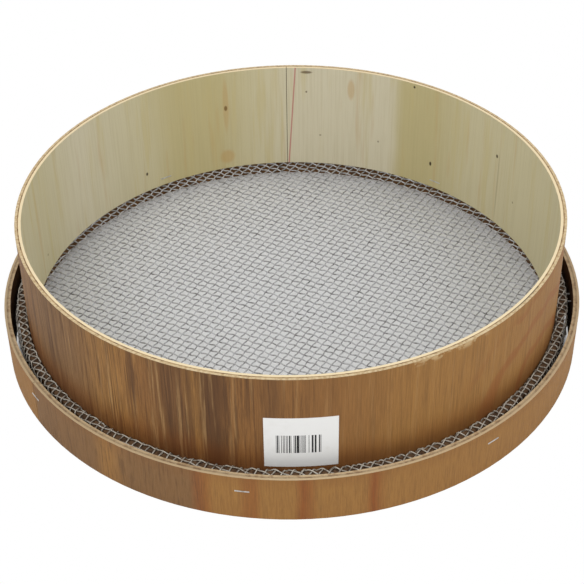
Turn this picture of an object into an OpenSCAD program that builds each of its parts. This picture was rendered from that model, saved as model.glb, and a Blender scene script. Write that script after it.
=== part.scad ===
// Round garden riddle built like a drum sieve. A sheet of woven wire is drawn over
// a clamp ring, a tall bent plywood drum is pressed in from above, and a low rim
// hoop goes round the outside. The foot stands at z = 0 and the axis is Z.

/* [Drum hoop] */
// Outer diameter of the tall drum hoop
drum_d = 425; // [300:1:600]
// Height of the drum hoop above the wire mesh
drum_h = 99.3; // [60:0.1:160]
// Thickness of the brown outer ply of the drum
drum_outer_t = 1.9; // [1:0.1:3]
// Thickness of the dark core ply of the drum
drum_core_t = 0.9; // [0.5:0.1:2]
// Thickness of the pale inner ply of the drum
drum_inner_t = 2.0; // [1:0.1:3]
// Direction of the seam in the inner ply, in degrees
drum_inner_seam = 90.6; // [0:0.1:360]
// Direction of the seam in the outer ply, in degrees
drum_outer_seam = 150; // [0:1:360]
// Direction of the open joint in the core ply, in degrees
drum_core_joint = 322; // [0:1:360]
// Angle that the open joint in the core ply spans
drum_core_open = 10; // [1:0.5:20]

/* [Clamp ring] */
// Height of the clamp ring above the floor
clamp_h = 32.0; // [20:0.5:60]
// Thickness of the brown inner ply of the clamp ring
clamp_inner_t = 1.8; // [1:0.1:3]
// Thickness of the core ply of the clamp ring
clamp_core_t = 1.4; // [0.5:0.1:3]
// Thickness of the outer ply of the clamp ring
clamp_outer_t = 1.8; // [1:0.1:3]

/* [Rim hoop] */
// Height of the low rim hoop
rim_h = 39; // [25:0.5:60]
// Free gap between the folded mesh and the rim hoop
rim_gap = 3.5; // [1:0.1:6]
// Thickness of the pale inner ply of the rim hoop
rim_inner_t = 1.6; // [1:0.1:3]
// Thickness of the core ply of the rim hoop
rim_core_t = 1.5; // [0.5:0.1:3]
// Thickness of the brown outer ply of the rim hoop
rim_outer_t = 1.6; // [1:0.1:3]
// Direction of the seam in the outer ply, in degrees
rim_outer_seam = 213; // [0:1:360]
// Direction of the seam in the inner ply, in degrees
rim_inner_seam = 323; // [0:1:360]

/* [Wire mesh] */
// Height of the underside of the mesh above the floor
mesh_z = 13.5; // [5:0.5:20]
// Diameter of the galvanised wire
wire_d = 1.1; // [0.8:0.1:1.4]
// Distance between neighbouring wires
wire_pitch = 6.1; // [4:0.1:12]
// Only one wire in this many is drawn
wire_step = 4; // [4:1:6]
// Direction of the warp wires, in degrees
warp_angle = 60; // [0:1:90]
// Length of the cut ends that hang outside the clamp ring
tail_h = 9; // [4:0.5:14]

/* [Staples] */
// Width of a staple's crown
staple_w = 10.5; // [8:0.5:14]
// Thickness of the staple wire
staple_t = 0.9; // [0.6:0.1:1.2]
// Depth that a staple's point goes into the ply that holds it
staple_bite = 2.4; // [1:0.1:3]
// Height of the rim staples above the floor
rim_staple_z = 26; // [20:0.5:30]
// Number of rim staples
rim_staple_count = 7; // [3:1:7]
// Angle between neighbouring rim staples
rim_staple_step = 47.6; // [30:0.1:50]
// Direction of the first rim staple, in degrees
rim_staple_start = 213.3; // [205:0.1:220]
// Height of the drum staples above the mesh
drum_staple_up = 7; // [5:0.5:10]
// Number of drum staples
drum_staple_count = 5; // [3:1:8]
// Direction of the first drum staple, in degrees
drum_staple_start = 51; // [40:0.5:60]

/* [Label] */
// Width of the paper label
label_w = 51.7; // [30:0.1:80]
// Height of the paper label
label_h = 45.5; // [20:0.1:60]
// Height of the label's lower edge above the top of the clamp ring
label_up = 2.8; // [2.5:0.1:8]
// Thickness of the paper
label_t = 0.25; // [0.1:0.05:0.5]
// Direction of the middle of the label, in degrees
label_angle = 271.4; // [255:0.1:290]

/* [Hidden] */
$fn = 180;

// Clear width of a butt joint between the two ends of a ply
seam_w = 0.5;
// Spare length that a cut runs past the faces it goes through
over = 1;

// Radii, worked out from the drum outwards and inwards
drum_r = drum_d / 2;
drum_core_r = drum_r - drum_outer_t;
drum_inner_r = drum_core_r - drum_core_t;
drum_bore_r = drum_inner_r - drum_inner_t;
mesh_t = 2 * wire_d;
clamp_r = drum_r + mesh_t;
clamp_core_r = clamp_r + clamp_inner_t;
clamp_outer_r = clamp_core_r + clamp_core_t;
clamp_out_r = clamp_outer_r + clamp_outer_t;
tail_r = clamp_out_r + mesh_t;
rim_bore_r = tail_r + rim_gap;
rim_core_r = rim_bore_r + rim_inner_t;
rim_outer_r = rim_core_r + rim_core_t;
rim_out_r = rim_outer_r + rim_outer_t;

// Heights
drum_z = mesh_z + mesh_t;
drum_top = drum_z + drum_h;
fold_top = clamp_h + mesh_t;
net_step = wire_pitch * wire_step;
net_n = floor((drum_r - net_step / 4) / net_step);

// A closed hoop between two radii and two heights
module hoop(r_in, r_out, z0, z1) {
    difference() {
        translate([0, 0, z0]) cylinder(r = r_out, h = z1 - z0);
        translate([0, 0, z0 - over]) cylinder(r = r_in, h = z1 - z0 + 2 * over);
    }
}

// The slot that a butt joint leaves in a ply
module seam_cut(direction, r_in, r_out, z0, z1) {
    rotate([0, 0, direction])
        translate([r_in - over, -seam_w / 2, z0 - over])
        cube([r_out - r_in + 2 * over, seam_w, z1 - z0 + 2 * over]);
}

// A ply bent round until its two ends meet in a butt joint
module bent_ply(r_in, r_out, z0, z1, direction) {
    difference() {
        hoop(r_in, r_out, z0, z1);
        seam_cut(direction, r_in, r_out, z0, z1);
    }
}

// One staple that lies along the x direction, with its legs from r0 to r1
module staple(r0, r1, crown_at) {
    crown_x = crown_at < r1 ? r0 : r1 - staple_t;
    translate([crown_x, -staple_w / 2, -staple_t / 2]) cube([staple_t, staple_w, staple_t]);
    for (side = [-1, 1])
        translate([r0, side * (staple_w - staple_t) / 2 - staple_t / 2, -staple_t / 2])
        cube([r1 - r0, staple_t, staple_t]);
}

// The depth at which a flat crown as wide as this lies within a round face
function sagitta(r) = r - sqrt(r * r - staple_w * staple_w / 4);

module rim_staple_set() {
    crown_r = rim_out_r + staple_t / 3;
    point_r = clamp_out_r - staple_bite;
    for (i = [0 : rim_staple_count - 1])
        rotate([0, 0, rim_staple_start + i * rim_staple_step])
        translate([0, 0, rim_staple_z])
        staple(point_r, crown_r, crown_r);
}

module drum_staple_set() {
    crown_r = drum_bore_r - sagitta(drum_bore_r) - staple_t / 3;
    point_r = clamp_r + staple_bite;
    for (i = [0 : drum_staple_count - 1])
        rotate([0, 0, drum_staple_start + i * 360 / drum_staple_count])
        translate([0, 0, drum_z + drum_staple_up])
        staple(crown_r, point_r, crown_r);
}

// Straight wires side by side, each cut to the chord of the drum
module wire_row(z) {
    for (i = [-net_n : net_n])
        let (y = i * net_step, half = sqrt(drum_r * drum_r - y * y))
        translate([-half, y, z]) rotate([0, 90, 0]) cylinder(d = wire_d, h = 2 * half, $fn = 16);
}

module drum_outer_ply() {
    color("#9b7346") difference() {
        bent_ply(drum_core_r, drum_r, drum_z, drum_top, drum_outer_seam);
        drum_staple_set();
    }
}

module drum_core_ply() {
    color("#54402c") difference() {
        rotate([0, 0, drum_core_joint + drum_core_open / 2])
            rotate_extrude(angle = 360 - drum_core_open)
            translate([drum_inner_r, drum_z]) square([drum_core_t, drum_h]);
        drum_staple_set();
    }
}

module drum_inner_ply() {
    color("#d3c7a4") difference() {
        bent_ply(drum_bore_r, drum_inner_r, drum_z, drum_top, drum_inner_seam);
        drum_staple_set();
    }
}

module clamp_inner_ply() {
    color("#86623d") difference() {
        hoop(clamp_r, clamp_core_r, 0, clamp_h);
        drum_staple_set();
    }
}

module clamp_core_ply() {
    color("#b89a6c") difference() {
        hoop(clamp_core_r, clamp_outer_r, 0, clamp_h);
        drum_staple_set();
        rim_staple_set();
    }
}

module clamp_outer_ply() {
    color("#86623d") difference() {
        hoop(clamp_outer_r, clamp_out_r, 0, clamp_h);
        rim_staple_set();
    }
}

module rim_inner_ply() {
    color("#bba079") difference() {
        bent_ply(rim_bore_r, rim_core_r, 0, rim_h, rim_inner_seam);
        rim_staple_set();
    }
}

module rim_core_ply() {
    color("#a59375") difference() {
        hoop(rim_core_r, rim_outer_r, 0, rim_h);
        rim_staple_set();
    }
}

module rim_outer_ply() {
    color("#a87f4f") difference() {
        bent_ply(rim_outer_r, rim_out_r, 0, rim_h, rim_outer_seam);
        rim_staple_set();
    }
}

module warp_wires() {
    color("#a9abab") rotate([0, 0, warp_angle]) wire_row(mesh_z + 1.5 * wire_d);
}

module weft_wires() {
    color("#a9abab") rotate([0, 0, warp_angle + 90]) wire_row(mesh_z + 0.5 * wire_d);
}

// The edge of the mesh goes up beside the drum, over the clamp ring and down again
module mesh_fold() {
    color("#8d8a84") difference() {
        union() {
            hoop(drum_r, clamp_r, mesh_z, fold_top);
            hoop(clamp_r, clamp_out_r, clamp_h, fold_top);
            hoop(clamp_out_r, tail_r, clamp_h - tail_h, fold_top);
        }
        drum_staple_set();
        rim_staple_set();
    }
}

module rim_staples() {
    color("#c3c5c4") rim_staple_set();
}

module drum_staples() {
    color("#b4b7b5") drum_staple_set();
}

module label() {
    span = label_w / drum_r * 180 / PI;
    color("#f2f2ee") rotate([0, 0, label_angle - span / 2])
        rotate_extrude(angle = span)
        translate([drum_r, fold_top + label_up - mesh_t]) square([label_t, label_h]);
}

drum_outer_ply();
drum_core_ply();
drum_inner_ply();
clamp_inner_ply();
clamp_core_ply();
clamp_outer_ply();
rim_inner_ply();
rim_core_ply();
rim_outer_ply();
warp_wires();
weft_wires();
mesh_fold();
rim_staples();
drum_staples();
label();
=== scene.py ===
import math
import random

import bpy
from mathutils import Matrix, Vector


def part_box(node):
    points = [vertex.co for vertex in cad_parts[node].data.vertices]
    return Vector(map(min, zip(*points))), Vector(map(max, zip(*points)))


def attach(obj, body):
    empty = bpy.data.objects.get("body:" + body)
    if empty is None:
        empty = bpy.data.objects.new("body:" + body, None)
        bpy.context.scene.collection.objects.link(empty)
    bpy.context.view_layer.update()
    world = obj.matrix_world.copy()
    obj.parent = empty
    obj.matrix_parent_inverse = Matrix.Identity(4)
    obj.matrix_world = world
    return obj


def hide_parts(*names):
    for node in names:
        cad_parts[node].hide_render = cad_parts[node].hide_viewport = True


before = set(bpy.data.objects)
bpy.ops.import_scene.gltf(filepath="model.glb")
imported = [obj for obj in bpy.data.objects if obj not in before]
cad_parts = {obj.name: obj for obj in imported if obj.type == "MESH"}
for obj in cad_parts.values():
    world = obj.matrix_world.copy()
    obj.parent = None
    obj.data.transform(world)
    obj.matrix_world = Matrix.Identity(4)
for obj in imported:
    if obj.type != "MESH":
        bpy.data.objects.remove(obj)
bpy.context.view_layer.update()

bl_info = {
    "name": "Round garden sieve",
    "version": (1, 0, 0),
    "blender": (4, 5, 0),
    "location": "3D View > Sidebar > Sieve",
    "description": "Weaves the wire mesh and finishes the bent wood of a round garden sieve",
    "category": "Object",
}

# The CAD box, and the heights and radii that the hoops give, in metres
MM = 0.001
DRUM_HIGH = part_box("drum_outer_ply")[1]
CLAMP_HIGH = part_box("clamp_outer_ply")[1]
RIM_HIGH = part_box("rim_outer_ply")[1]
WARP_LOW, WARP_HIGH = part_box("warp_wires")
WEFT_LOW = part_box("weft_wires")[0]
DRUM_R = DRUM_HIGH.x
DRUM_TOP = DRUM_HIGH.z
CLAMP_OUT_R = CLAMP_HIGH.x
CLAMP_TOP = CLAMP_HIGH.z
RIM_OUT_R = RIM_HIGH.x
RIM_TOP = RIM_HIGH.z
WIRE_D = WARP_HIGH.z - WARP_LOW.z
MESH_MID = (WARP_HIGH.z + WEFT_LOW.z) / 2

# The folded margin: its bends, and how its cut ends stray and stand off the ring
FOLD_BEND = 1.4 * MM
TAIL_FLARE = 0.12
FOLD_CRIMP = 0.8
CUT_SHORTEST = -3.5
CUT_LONGEST = 1.0
SPLAY_MOST = 0.7
SPLAY_FROM = 26 * MM
SPLAY_RUN = 10 * MM

# The block of bars on the label, in degrees from the front and metres above the floor
BARS_LEFT = -3.3
BARS_RIGHT = 5.2
BARS_LOW = 48 * MM
BARS_HIGH = 64.5 * MM
BARS_PER_DEGREE = 9.0

# How far below a hoop's top its cut edge begins and is full, and the size of the white floor
CUT_FROM = 0.35 * MM
CUT_FULL = 0.15 * MM
FLOOR_SIZE = 80.0


def paint(red, green, blue):
    """A colour written as it looks on a screen, 0 to 255, turned into scene values."""
    def linear(part):
        part = part / 255
        return part / 12.92 if part <= 0.04045 else ((part + 0.055) / 1.055) ** 2.4
    return (linear(red), linear(green), linear(blue), 1.0)


class SieveMesh(bpy.types.PropertyGroup):
    """Sizes of the woven wire."""
    pitch: bpy.props.FloatProperty(
        name="Wire pitch", description="Distance between neighbouring wires",
        default=6.1 * MM, unit="LENGTH")
    warp_angle: bpy.props.FloatProperty(
        name="Warp direction", description="Direction in which the warp wires run",
        default=math.radians(60), subtype="ANGLE")
    margin: bpy.props.FloatProperty(
        name="Margin", description="Width of the edge that is folded over the clamp ring",
        default=36 * MM, unit="LENGTH")
    samples: bpy.props.IntProperty(
        name="Bends", description="Points along a wire between two crossings", default=4)


class SieveColours(bpy.types.PropertyGroup):
    """Colour of the woven wire."""
    zinc: bpy.props.FloatVectorProperty(
        name="Zinc", description="Colour of the galvanised wire",
        default=paint(182, 182, 184), size=4, subtype="COLOR")


class SieveStage(bpy.types.PropertyGroup):
    """Camera and light."""
    distance: bpy.props.FloatProperty(
        name="Camera distance", description="Distance from the middle of the foot",
        default=1.1895, unit="LENGTH")
    elevation: bpy.props.FloatProperty(
        name="Camera elevation", description="Height of the camera as an angle",
        default=math.radians(38.72), subtype="ANGLE")
    roll: bpy.props.FloatProperty(
        name="Camera roll", description="Turn of the camera about its own axis",
        default=math.radians(-0.77), subtype="ANGLE")
    focal: bpy.props.FloatProperty(
        name="Focal length", description="Focal length in widths of the picture",
        default=1438.6 / 584)
    drop: bpy.props.FloatProperty(
        name="Picture shift", description="Upward shift of the frame in widths of the picture",
        default=22.6 / 584)
    world: bpy.props.FloatProperty(
        name="World light", description="Strength of the light all round", default=0.66)
    key: bpy.props.FloatProperty(
        name="Soft box", description="Power of the large soft lamp", default=17.0,
        unit="POWER")


class Value:
    """A number on a shader socket that can be worked with as in an expression."""

    def __init__(self, finish, link):
        self.finish = finish
        self.link = link

    def _math(self, operation, *values):
        return self.finish.math(operation, *values)

    def __add__(self, other):
        return self._math("ADD", self, other)

    __radd__ = __add__

    def __sub__(self, other):
        return self._math("SUBTRACT", self, other)

    def __rsub__(self, other):
        return self._math("SUBTRACT", other, self)

    def __mul__(self, other):
        return self._math("MULTIPLY", self, other)

    __rmul__ = __mul__

    def __truediv__(self, other):
        return self._math("DIVIDE", self, other)

    def __abs__(self):
        return self._math("ABSOLUTE", self)


class Finish:
    """A material whose nodes are added by method calls."""

    def __init__(self, name):
        self.material = bpy.data.materials.new(name)
        self.material.use_nodes = True
        self.tree = self.material.node_tree
        self.shader = self.tree.nodes["Principled BSDF"]
        coordinates = self.tree.nodes.new("ShaderNodeTexCoord")
        self.place = Value(self, coordinates.outputs["Object"])
        split = self.node("ShaderNodeSeparateXYZ", {}, {0: self.place})
        self.x, self.y, self.z = (Value(self, split.outputs[i]) for i in range(3))

    def node(self, kind, settings, values):
        made = self.tree.nodes.new(kind)
        for name, setting in settings.items():
            setattr(made, name, setting)
        for socket, value in values.items():
            if isinstance(value, Value):
                self.tree.links.new(value.link, made.inputs[socket])
            else:
                made.inputs[socket].default_value = value
        return made

    def math(self, operation, *values):
        made = self.node("ShaderNodeMath", {"operation": operation}, dict(enumerate(values)))
        return Value(self, made.outputs[0])

    def stretch(self, x, y, z):
        """The place of a point with each axis scaled by itself."""
        made = self.node("ShaderNodeVectorMath", {"operation": "MULTIPLY"},
                         {0: self.place, 1: (x, y, z)})
        return Value(self, made.outputs[0])

    def noise(self, x, y, z, detail=3.0, roughness=0.55):
        """Soft noise with so many waves to the metre along each axis."""
        made = self.node("ShaderNodeTexNoise", {"noise_dimensions": "3D"},
                         {"Vector": self.stretch(x, y, z), "Scale": 1.0, "Detail": detail,
                          "Roughness": roughness, "Distortion": 0.0})
        return Value(self, made.outputs[0])

    def ease(self, value, low, high):
        """0 below low, 1 above high, with a smooth step between them."""
        made = self.node("ShaderNodeMapRange", {"interpolation_type": "SMOOTHSTEP"},
                         {0: value, 1: low, 2: high, 3: 0.0, 4: 1.0})
        return Value(self, made.outputs[0])

    def band(self, value, middle, half, soft):
        """1 near a middle value and 0 further off than half plus soft."""
        return 1 - self.ease(abs(value - middle), half, half + soft)

    def mix(self, share, first, second):
        made = self.node("ShaderNodeMix", {"data_type": "RGBA", "blend_type": "MIX"},
                         {0: share, 6: first, 7: second})
        return Value(self, made.outputs[2])

    def ramp(self, value, stops):
        """Colours laid out along a value from 0 to 1."""
        made = self.node("ShaderNodeValToRGB", {}, {0: value})
        elements = made.color_ramp.elements
        while len(elements) < len(stops):
            elements.new(0.5)
        for element, (position, colour) in zip(elements, stops):
            element.position = position
            element.color = colour
        return Value(self, made.outputs[0])

    def bearing(self, front):
        """Degrees round the axis from the front, or from the back, to the right."""
        side = -1.0 if front else 1.0
        return self.math("ARCTAN2", self.x, self.y * side) * math.degrees(1)

    def done(self, colour, roughness, metallic=0.0, bump=None, depth=0.0002):
        for socket, value in (("Base Color", colour), ("Roughness", roughness),
                              ("Metallic", metallic)):
            if isinstance(value, Value):
                self.tree.links.new(value.link, self.shader.inputs[socket])
            else:
                self.shader.inputs[socket].default_value = value
        self.shader.inputs["Specular IOR Level"].default_value = 0.5 if metallic else 0.2
        if bump is not None:
            relief = self.node("ShaderNodeBump", {},
                               {"Strength": 0.7, "Distance": depth, "Height": bump})
            self.tree.links.new(relief.outputs[0], self.shader.inputs["Normal"])
        return self.material


# Tones of the brown veneers, as they look on a screen
HONEY = (156, 113, 60)
OAK = (140, 98, 54)
WALNUT = (112, 78, 46)
UMBER = (94, 64, 38)
ASH = (130, 97, 62)
RUST = (140, 80, 38)
SAND = (176, 140, 92)
BARK = (82, 55, 34)
SOOT = (70, 46, 29)
COCOA = (88, 58, 34)
FLAME = (139, 80, 40)
EMBER = (122, 68, 30)
RUBBED = (196, 168, 124)

# Tones of the pale veneer and of its marks
CREAM = (212, 204, 178)
BIRCH = (204, 195, 160)
STRAW = (194, 182, 136)
KNOT = (54, 38, 24)
BRUISE = (100, 82, 58)
AMBER = (190, 152, 92)


def along(stops):
    """Ramp stops given in degrees from -180 to 180, each with one of the veneer tones."""
    return [((degree + 180) / 360, paint(*colour)) for degree, colour in stops]


def walnut_finish():
    """Brown veneer with upright grain, dark streaks on the left and a flame on the right."""
    f = Finish("walnut_veneer")
    turn = f.bearing(True)
    sway = f.noise(26, 26, 9, detail=2.0)
    wander = turn + (sway - 0.5) * 5.0
    stops = [(-180, OAK), (-75, OAK), (-58, ASH), (-48, ASH), (-36, HONEY), (-30, OAK),
             (-24, WALNUT), (-21, WALNUT), (-19.5, HONEY), (-16.5, UMBER), (-13, UMBER),
             (-11, OAK), (-7, OAK), (-4.5, WALNUT), (-2, OAK), (8, OAK), (24, HONEY), (80, HONEY),
             (180, OAK)]
    base = f.ramp((wander + 180) / 360, along(stops))
    left = f.ease(wander, 12, -14)
    fine = f.noise(1300, 1300, 42, detail=4.0, roughness=0.75)
    dash = f.noise(620, 620, 17, detail=4.0, roughness=0.7)
    broad = f.noise(230, 230, 7, detail=4.0, roughness=0.6)
    pale = f.noise(300, 300, 10, detail=3.0)
    colour = f.mix(f.ease(pale, 0.54, 0.68) * (0.2 + left * 0.3), base, paint(*SAND))
    colour = f.mix(f.ease(broad, 0.5, 0.64) * (0.12 + left * 0.5), colour, paint(*BARK))
    colour = f.mix(f.ease(dash, 0.5, 0.62) * (0.16 + left * 0.42), colour, paint(*SOOT))
    colour = f.mix(f.ease(fine, 0.42, 0.6) * (0.26 + left * 0.14), colour, paint(*COCOA))
    # The flame: nested arches that grow out of the foot of the drum on the right
    arch = f.math("SQRT", f.math("POWER", (turn - 62) / 22, 2.0)
                  + f.math("POWER", (f.z - 0.03) / 0.062, 2.0) + 0.001)
    ring = f.math("SINE", (arch + (sway - 0.5) * 0.5) * 15.0)
    flame = f.ease(ring, 0.35, 1.0) * f.band(turn, 60, 17, 14) * f.band(arch, 0.85, 0.35, 0.3)
    colour = f.mix(flame * 0.5, colour, paint(*FLAME))
    # The wood gets redder and darker towards the groove
    low = 1 - f.ease(f.z + (sway - 0.5) * 0.02, 0.034, 0.062)
    colour = f.mix(low * 0.45, colour, paint(*EMBER))
    cut = f.ease(f.z, DRUM_TOP - CUT_FROM, DRUM_TOP - CUT_FULL)
    rub = f.band(turn, 30, 6, 5) * f.ease(f.z, DRUM_TOP - 0.006, DRUM_TOP - 0.002)
    rub = rub * f.ease(f.noise(120, 120, 160), 0.5, 0.6)
    colour = f.mix(rub * 0.8, colour, paint(*RUBBED))
    edge = f.mix(f.ease(f.noise(420, 420, 60), 0.35, 0.7), paint(205, 185, 148),
                 paint(172, 146, 108))
    colour = f.mix(cut, colour, edge)
    return f.done(colour, 0.5 + fine * 0.2, bump=fine)


def rim_finish():
    """Brown veneer of the low hoop, grey on the left and golden with red streaks in front."""
    f = Finish("rim_veneer")
    turn = f.bearing(True)
    sway = f.noise(30, 30, 14, detail=2.0)
    wander = turn + (sway - 0.5) * 2.4
    stops = [(-180, HONEY), (-57.5, HONEY), (-56.5, ASH), (-39, ASH), (-36, HONEY),
             (-31, ASH), (-18, ASH), (-16.3, RUST), (-14.5, HONEY), (-9, HONEY), (-7.8, RUST),
             (-6, HONEY), (0, HONEY), (1.6, RUST), (4, HONEY), (12.5, HONEY), (14, RUST),
             (16, HONEY), (180, HONEY)]
    base = f.ramp((wander + 180) / 360, along(stops))
    left = f.ease(wander, -12, -20) * f.ease(wander, -60, -56)
    fine = f.noise(1300, 1300, 60, detail=4.0, roughness=0.75)
    dash = f.noise(560, 560, 30, detail=4.0, roughness=0.7)
    colour = f.mix(f.ease(dash, 0.5, 0.64) * (0.16 + left * 0.4), base, paint(86, 62, 42))
    colour = f.mix(f.ease(fine, 0.42, 0.62) * 0.32, colour, paint(104, 72, 42))
    high = f.ease(f.z + (sway - 0.5) * 0.006, RIM_TOP - 0.012, RIM_TOP)
    colour = f.mix(high * 0.25, colour, paint(128, 84, 46))
    cut = f.ease(f.z, RIM_TOP - 0.0004, RIM_TOP - 0.0001)
    colour = f.mix(cut, colour, paint(186, 164, 130))
    return f.done(colour, 0.52 + fine * 0.2, bump=fine)


def pale_finish():
    """The drum's pale inner wall, with faint upright tints, knots, stains and a pink line."""
    f = Finish("pale_veneer")
    # Degrees from the back of the drum, to the left of the picture
    turn = f.bearing(False) * -1.0
    sway = f.noise(22, 22, 7, detail=2.0)
    wander = turn + (sway - 0.5) * 6.0
    stops = [(-180, CREAM), (-95, BIRCH), (-60, BIRCH), (-48, BIRCH), (-37, STRAW),
             (-29, STRAW), (-26, CREAM), (-1, CREAM), (8, BIRCH), (17, STRAW), (30, STRAW),
             (38, BIRCH), (60, CREAM), (75, BIRCH), (180, CREAM)]
    base = f.ramp((wander + 180) / 360, along(stops))
    fine = f.noise(700, 700, 12, detail=4.0, roughness=0.65)
    broad = f.noise(120, 120, 7, detail=3.0)
    colour = f.mix(f.ease(fine, 0.42, 0.68) * 0.22, base, paint(176, 162, 118))
    colour = f.mix(f.ease(broad, 0.52, 0.7) * 0.45, colour, paint(197, 182, 129))
    colour = f.mix(f.ease(f.noise(150, 150, 9), 0.58, 0.72) * 0.3, colour, paint(190, 158, 106))

    def spot(at, high, wide, tall, share, dark):
        away = f.math("SQRT", f.math("POWER", (turn - at) / wide, 2.0)
                      + f.math("POWER", (f.z - high * MM) / (tall * MM), 2.0))
        return f.mix((1 - f.ease(away, 0.5, 1.0)) * share, colour, paint(*dark))

    marks = [(16.0, 79, 0.55, 3.4, 0.95, KNOT), (16.0, 82, 0.9, 34, 0.4, AMBER),
             (16.0, 28, 2.4, 9, 0.5, AMBER), (38.3, 33.7, 0.4, 2.2, 0.9, KNOT),
             (-4.3, 110.5, 1.8, 1.8, 0.8, BRUISE), (-4.3, 90.7, 0.3, 1.3, 0.8, BRUISE),
             (-31.9, 111.5, 0.35, 1.6, 0.9, KNOT), (-58.1, 81.6, 0.45, 2.2, 0.9, KNOT),
             (-59.0, 55, 0.3, 42, 0.25, BRUISE), (-37.4, 39.5, 0.4, 2.8, 0.95, KNOT),
             (-22.8, 47, 0.3, 1.3, 0.6, BRUISE), (-7.8, 46, 0.4, 1.2, 0.5, BRUISE),
             (-15.5, 96, 1.2, 13, 0.45, AMBER), (-65.5, 50, 0.3, 1.4, 0.6, BRUISE),
             (-24, 71, 3.0, 0.5, 0.5, CREAM), (78, 33, 0.4, 1.4, 0.6, BRUISE)]
    for mark in marks:
        colour = spot(*mark)
    line = f.band(turn + (f.z - 0.015) * 18 - 0.2, 0.0, 0.1, 0.14)
    colour = f.mix(line * 0.85, colour, paint(188, 122, 116))
    cut = f.ease(f.z, DRUM_TOP - CUT_FROM, DRUM_TOP - CUT_FULL)
    colour = f.mix(cut, colour, paint(225, 207, 170))
    return f.done(colour, 0.62 + fine * 0.12, bump=fine, depth=0.00012)


def core_finish(name, light, dark, top, side):
    """Cut edge of a ply, with short dark marks that follow the hoop, and its darker side."""
    f = Finish(name)
    speck = f.noise(240, 240, 40, detail=4.0)
    colour = f.mix(f.ease(speck, 0.4, 0.68), paint(*light), paint(*dark))
    # Below the cut edge the ply takes its side colour; for the rim plies that colour is painted shade
    # from the groove
    cut = f.ease(f.z, top - 0.0006, top - 0.0002)
    colour = f.mix(cut, f.mix(f.ease(speck, 0.4, 0.7) * 0.5, paint(*side), paint(40, 28, 18)), colour)
    return f.done(colour, 0.75, bump=speck)


def zinc_finish(name, light, dark, rough):
    """Dull zinc on drawn wire, with darker patches."""
    f = Finish(name)
    patch = f.noise(260, 260, 260, detail=3.0)
    wear = f.noise(60, 60, 60, detail=2.0)
    share = f.ease(patch, 0.42, 0.72) * 0.75 + f.ease(wear, 0.5, 0.75) * 0.2
    colour = f.mix(share, light, dark)
    return f.done(colour, rough + patch * 0.2, metallic=0.35, bump=patch, depth=0.00005)


def paper_finish():
    """White label paper, a little soiled, with a block of plain upright bars."""
    f = Finish("label_paper")
    turn = f.bearing(True)
    soil = f.noise(90, 90, 90, detail=3.0)
    colour = f.mix(f.ease(soil, 0.5, 0.8) * 0.25, paint(232, 232, 230), paint(206, 204, 196))
    step = f.math("FLOOR", turn * BARS_PER_DEGREE)
    made = f.node("ShaderNodeTexWhiteNoise", {"noise_dimensions": "1D"}, {"W": step})
    bars = f.math("GREATER_THAN", Value(f, made.outputs["Value"]), 0.52)
    block = (f.math("GREATER_THAN", turn, BARS_LEFT) * f.math("LESS_THAN", turn, BARS_RIGHT)
             * f.math("GREATER_THAN", f.z, BARS_LOW) * f.math("LESS_THAN", f.z, BARS_HIGH))
    colour = f.mix(bars * block, colour, paint(38, 38, 40))
    return f.done(colour, 0.55, bump=soil, depth=0.0001)


def dress(node, material):
    """Give a CAD node's mesh its material."""
    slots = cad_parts[node].data.materials
    slots.clear()
    slots.append(material)


def fold_profile(out):
    """Place and outward direction on the folded margin, so far out from the drum's foot."""
    leg_r = DRUM_R + WIRE_D
    top_z = CLAMP_TOP + WIRE_D
    tail_r = CLAMP_OUT_R + WIRE_D
    bend = FOLD_BEND
    rise = top_z - MESH_MID
    cross = tail_r - leg_r
    if out < rise - bend:
        return leg_r, MESH_MID + out, 1.0, 0.0
    if out < rise + bend:
        t = (out - rise + bend) / (2 * bend) * math.pi / 2
        return (leg_r + bend * (1 - math.cos(t)), top_z - bend * (1 - math.sin(t)),
                -math.cos(t), math.sin(t))
    if out < rise + cross - bend:
        return leg_r + out - rise, top_z, 0.0, 1.0
    if out < rise + cross + bend:
        t = (out - rise - cross + bend) / (2 * bend) * math.pi / 2
        return (tail_r - bend * (1 - math.sin(t)), top_z - bend * (1 - math.cos(t)),
                math.sin(t), math.cos(t))
    down = out - rise - cross
    return tail_r + TAIL_FLARE * down, top_z - down, 1.0, 0.0


def wire_points(offset, turn, odd, mesh, draw):
    """Points of one wire in the flat middle, and those of its two folded ends."""
    ahead, aside = math.cos(turn), math.sin(turn)
    step = mesh.pitch / mesh.samples
    edge = DRUM_R + mesh.margin
    reach = math.sqrt(edge * edge - offset * offset)
    count = int(reach / step)
    cut = [draw.uniform(CUT_SHORTEST, CUT_LONGEST) * MM for end in range(2)]
    splay = [draw.uniform(0, SPLAY_MOST) * MM for end in range(2)]
    runs = []
    run = []
    inside = None
    for i in range(-count, count + 1):
        along_wire = i * step
        side = 0 if i < 0 else 1
        radius = math.hypot(along_wire, offset)
        if radius > edge + cut[side]:
            continue
        sign = -1 if odd else 1
        wave = sign * WIRE_D / 2 * math.cos(math.pi * along_wire / mesh.pitch)
        x = along_wire * ahead - offset * aside
        y = along_wire * aside + offset * ahead
        flat = radius <= DRUM_R
        if flat:
            point = (x, y, MESH_MID + wave)
        else:
            out = radius - DRUM_R
            r, z, nr, nz = fold_profile(out)
            late = max(0.0, out - SPLAY_FROM) / SPLAY_RUN
            r = r + wave * nr * FOLD_CRIMP + splay[side] * late
            z = z + wave * nz * FOLD_CRIMP
            point = (x / radius * r, y / radius * r, z)
        if inside is not None and flat != inside:
            run.append(point)
            runs.append((inside, run))
            run = []
        inside = flat
        run.append(point)
    if len(run) > 1:
        runs.append((inside, run))
    return runs


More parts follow.
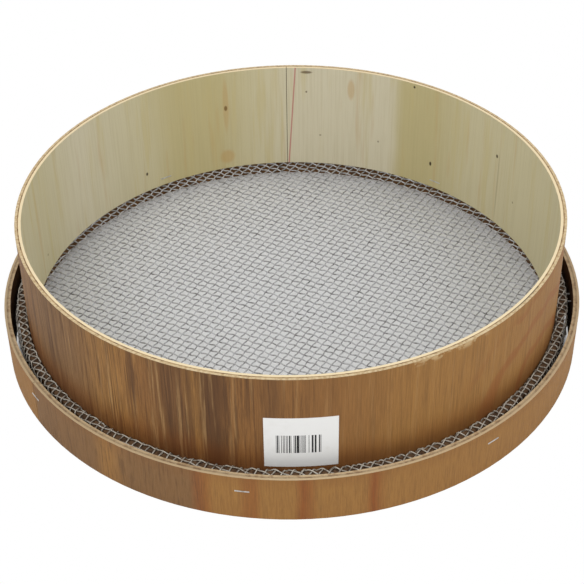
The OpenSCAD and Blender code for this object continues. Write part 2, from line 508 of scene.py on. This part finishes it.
def tubes(name, runs, material):
    """Round wires along lists of points, joined in one mesh."""
    curve = bpy.data.curves.new(name, "CURVE")
    curve.dimensions = "3D"
    curve.bevel_depth = WIRE_D / 2
    curve.bevel_resolution = 1
    curve.use_fill_caps = True
    for run in runs:
        spline = curve.splines.new("POLY")
        spline.points.add(len(run) - 1)
        for point, place in zip(spline.points, run):
            point.co = (*place, 1.0)
    piece = bpy.data.objects.new(name, curve)
    bpy.context.scene.collection.objects.link(piece)
    bpy.ops.object.select_all(action="DESELECT")
    piece.select_set(True)
    bpy.context.view_layer.objects.active = piece
    bpy.ops.object.convert(target="MESH")
    piece = bpy.context.view_layer.objects.active
    bpy.ops.object.shade_smooth()
    piece.data.materials.clear()
    piece.data.materials.append(material)
    return piece


class SIEVE_OT_mesh(bpy.types.Operator):
    """Weave the wires and fold their ends over the clamp ring"""
    bl_idname = "sieve.mesh"
    bl_label = "Woven mesh"

    def execute(self, context):
        mesh = context.scene.sieve_mesh
        colours = context.scene.sieve_colours
        draw = random.Random(7)
        zinc = zinc_finish("zinc_wire", tuple(colours.zinc), paint(84, 82, 80), 0.45)
        aged = zinc_finish("zinc_wire_aged", paint(186, 180, 168), paint(96, 82, 68), 0.45)
        folded = []
        last = int((DRUM_R + mesh.margin) / mesh.pitch)
        for name, turn, flip in (("warp", mesh.warp_angle, 0),
                                 ("weft", mesh.warp_angle + math.pi / 2, 1)):
            flat = []
            for k in range(-last, last + 1):
                for inside, run in wire_points(k * mesh.pitch, turn, (k + flip) % 2, mesh, draw):
                    (flat if inside else folded).append(run)
            piece = tubes("woven_" + name, flat, zinc)
            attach(piece, "root")
            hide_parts(name + "_wires")
        edge = tubes("folded_wire_ends", [run for run in folded if len(run) > 1], aged)
        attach(edge, "root")
        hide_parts("mesh_fold")
        return {"FINISHED"}


class SIEVE_OT_hoops(bpy.types.Operator):
    """Finish the drum, the clamp ring and the rim hoop"""
    bl_idname = "sieve.hoops"
    bl_label = "Bent wood hoops"

    def execute(self, context):
        dress("drum_outer_ply", walnut_finish())
        dress("drum_inner_ply", pale_finish())
        dress("rim_outer_ply", rim_finish())
        drum_core = core_finish("drum_core", (164, 136, 98), (104, 76, 50), DRUM_TOP, (90, 66, 44))
        dress("drum_core_ply", drum_core)
        # Painted shade: the rim plies' side below the cut edge is dark brown for the shade in the
        # groove
        shade = (92, 70, 48)
        dress("rim_inner_ply",
              core_finish("rim_inner", (186, 164, 130), (156, 130, 98), RIM_TOP, shade))
        dress("rim_core_ply",
              core_finish("rim_core", (162, 142, 112), (128, 104, 78), RIM_TOP, shade))
        clamp = core_finish("clamp_veneer", (96, 72, 50), (58, 42, 30), CLAMP_TOP, (112, 80, 50))
        for ply in ("clamp_inner_ply", "clamp_core_ply", "clamp_outer_ply"):
            dress(ply, clamp)
        return {"FINISHED"}


class SIEVE_OT_fixings(bpy.types.Operator):
    """Finish the staples and the label"""
    bl_idname = "sieve.fixings"
    bl_label = "Staples and label"

    def execute(self, context):
        steel = zinc_finish("staple_steel", paint(206, 206, 204), paint(150, 148, 144), 0.35)
        dress("rim_staples", steel)
        dress("drum_staples", steel)
        dress("label", paper_finish())
        return {"FINISHED"}


class SIEVE_OT_stage(bpy.types.Operator):
    """Put up the floor, the lamps, the world and the camera"""
    bl_idname = "sieve.stage"
    bl_label = "Stage"

    def execute(self, context):
        stage = context.scene.sieve_stage
        bpy.ops.object.select_all(action="DESELECT")
        bpy.ops.mesh.primitive_plane_add(size=FLOOR_SIZE, location=(0, 0, 0))
        floor = context.view_layer.objects.active
        floor.name = "floor"
        f = Finish("floor_white")
        glow = f.node("ShaderNodeEmission", {}, {0: (1, 1, 1, 1), 1: 1.0})
        f.done(paint(236, 236, 236), 0.8)
        ray = f.tree.nodes.new("ShaderNodeLightPath")
        outside = f.ease(f.math("SQRT", f.math("POWER", f.x, 2.0) + f.math("POWER", f.y, 2.0)),
                         RIM_OUT_R - 10 * MM, RIM_OUT_R)
        seen = Value(f, ray.outputs["Is Camera Ray"]) * outside
        blend = f.node("ShaderNodeMixShader", {}, {0: seen})
        f.tree.links.new(f.shader.outputs[0], blend.inputs[1])
        f.tree.links.new(glow.outputs[0], blend.inputs[2])
        f.tree.links.new(blend.outputs[0], f.tree.nodes["Material Output"].inputs["Surface"])
        floor.data.materials.append(f.material)

        world = bpy.data.worlds.new("studio")
        world.use_nodes = True
        background = world.node_tree.nodes["Background"]
        background.inputs[0].default_value = (1, 1, 1, 1)
        background.inputs[1].default_value = stage.world
        context.scene.world = world

        for name, place, size, power in (("soft_box", (-0.6, -0.9, 1.6), 1.4, stage.key),
                                         ("fill_box", (1.2, -0.3, 1.2), 1.2, stage.key * 0.45)):
            lamp = bpy.data.lights.new(name, "AREA")
            lamp.size = size
            lamp.energy = power
            holder = bpy.data.objects.new(name, lamp)
            holder.location = place
            holder.rotation_euler = (-Vector(place)).to_track_quat("-Z", "Y").to_euler()
            context.scene.collection.objects.link(holder)

        camera = bpy.data.cameras.new("camera")
        camera.sensor_width = 36
        camera.lens = stage.focal * camera.sensor_width
        camera.shift_y = stage.drop
        eye = bpy.data.objects.new("camera", camera)
        eye.location = (0, -stage.distance * math.cos(stage.elevation),
                        stage.distance * math.sin(stage.elevation))
        look = (-Vector(eye.location)).to_track_quat("-Z", "Y")
        eye.rotation_euler = look.to_euler()
        eye.rotation_euler.rotate_axis("Z", stage.roll)
        context.scene.collection.objects.link(eye)
        context.scene.camera = eye
        context.scene.view_settings.view_transform = "Standard"
        return {"FINISHED"}


OPERATORS = (SIEVE_OT_stage, SIEVE_OT_hoops, SIEVE_OT_mesh, SIEVE_OT_fixings)
GROUPS = (("sieve_mesh", SieveMesh), ("sieve_colours", SieveColours), ("sieve_stage", SieveStage))


class SIEVE_PT_panel(bpy.types.Panel):
    """Lists the sieve's sizes and the operators that make it"""
    bl_label = "Sieve"
    bl_idname = "SIEVE_PT_panel"
    bl_space_type = "VIEW_3D"
    bl_region_type = "UI"
    bl_category = "Sieve"

    def draw(self, context):
        for name, group in GROUPS:
            box = self.layout.box()
            for setting in group.__annotations__:
                box.prop(getattr(context.scene, name), setting)
        for operator in OPERATORS:
            self.layout.operator(operator.bl_idname)


def register():
    for name, group in GROUPS:
        bpy.utils.register_class(group)
        setattr(bpy.types.Scene, name, bpy.props.PointerProperty(type=group))
    for operator in OPERATORS:
        bpy.utils.register_class(operator)
    bpy.utils.register_class(SIEVE_PT_panel)


def unregister():
    bpy.utils.unregister_class(SIEVE_PT_panel)
    for operator in reversed(OPERATORS):
        bpy.utils.unregister_class(operator)
    for name, group in reversed(GROUPS):
        delattr(bpy.types.Scene, name)
        bpy.utils.unregister_class(group)


def main():
    register()
    bpy.ops.sieve.stage()
    bpy.ops.sieve.hoops()
    bpy.ops.sieve.mesh()
    bpy.ops.sieve.fixings()


if __name__ == "__main__":
    main()
